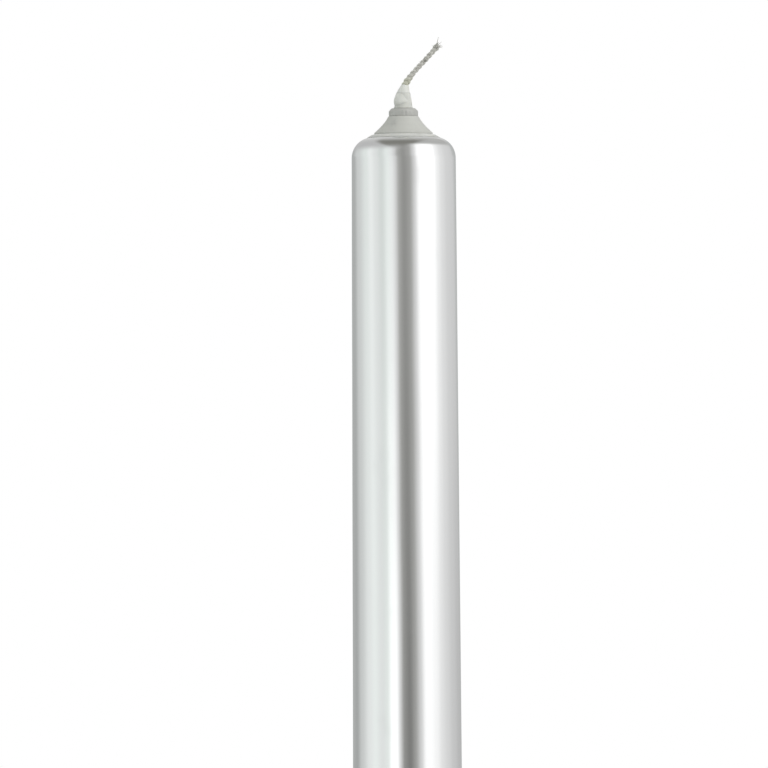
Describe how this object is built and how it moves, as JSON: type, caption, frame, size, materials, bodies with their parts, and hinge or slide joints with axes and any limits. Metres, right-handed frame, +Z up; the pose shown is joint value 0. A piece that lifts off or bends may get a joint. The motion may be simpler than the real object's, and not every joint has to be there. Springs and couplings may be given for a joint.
{
  "type": "candle mold",
  "caption": "Drawn metal tube mold for a dinner candle, standing tip up on its pouring dish, with a sealed tip cone, wick and wick rod.",
  "frame": {"origin": "centre of the foot ring's underside, on the surface that the mold stands on", "axes": "+Z up along the mold's axis, from its open end to its tip; +X towards the rod's knob and the side that the wick leans to; the front view looks along +Y"},
  "size_m": [0.082, 0.062, 0.2766],
  "materials": {
    "polished_aluminium": "drawn and polished to a soft mirror",
    "spun_aluminium": "spun, with faint turning lines",
    "satin_aluminium": "satin, dulled by wax",
    "turned_aluminium": "turned and ribbed",
    "stainless_steel": "drawn wire, bright",
    "black_rubber": "moulded, matt",
    "silicone": "translucent silicone, satin",
    "cotton_wick": "braided cotton, waxed"
  },
  "bodies": {
    "mold": {"mold_tube": "polished_aluminium", "pour_dish": "spun_aluminium", "dish_gasket": "black_rubber", "neck_ring": "black_rubber", "foot_ring": "black_rubber", "rod_grommet_left": "black_rubber", "rod_grommet_right": "black_rubber", "wick_loop": "cotton_wick"},
    "tip": {"tip_cone": "satin_aluminium", "tip_gasket": "silicone", "wick_seal": "silicone", "wick": "cotton_wick"},
    "gland": {"gland_nut": "turned_aluminium"},
    "rod": {"wick_rod": "stainless_steel", "rod_knob": "turned_aluminium", "knob_pin": "stainless_steel"}
  },
  "joints": [
    {"name": "tip_pull", "type": "slide", "parent": "mold", "child": "tip", "axis": [0, 0, 1], "range_m": [0, 0.025]},
    {"name": "gland_turn", "type": "hinge", "parent": "tip", "child": "gland", "pos_m": [0, 0, 0.26], "axis": [0, 0, 1], "range_deg": [0, 270]},
    {"name": "rod_slide", "type": "slide", "parent": "mold", "child": "rod", "axis": [1, 0, 0], "range_m": [0, 0.06]}
  ]
}
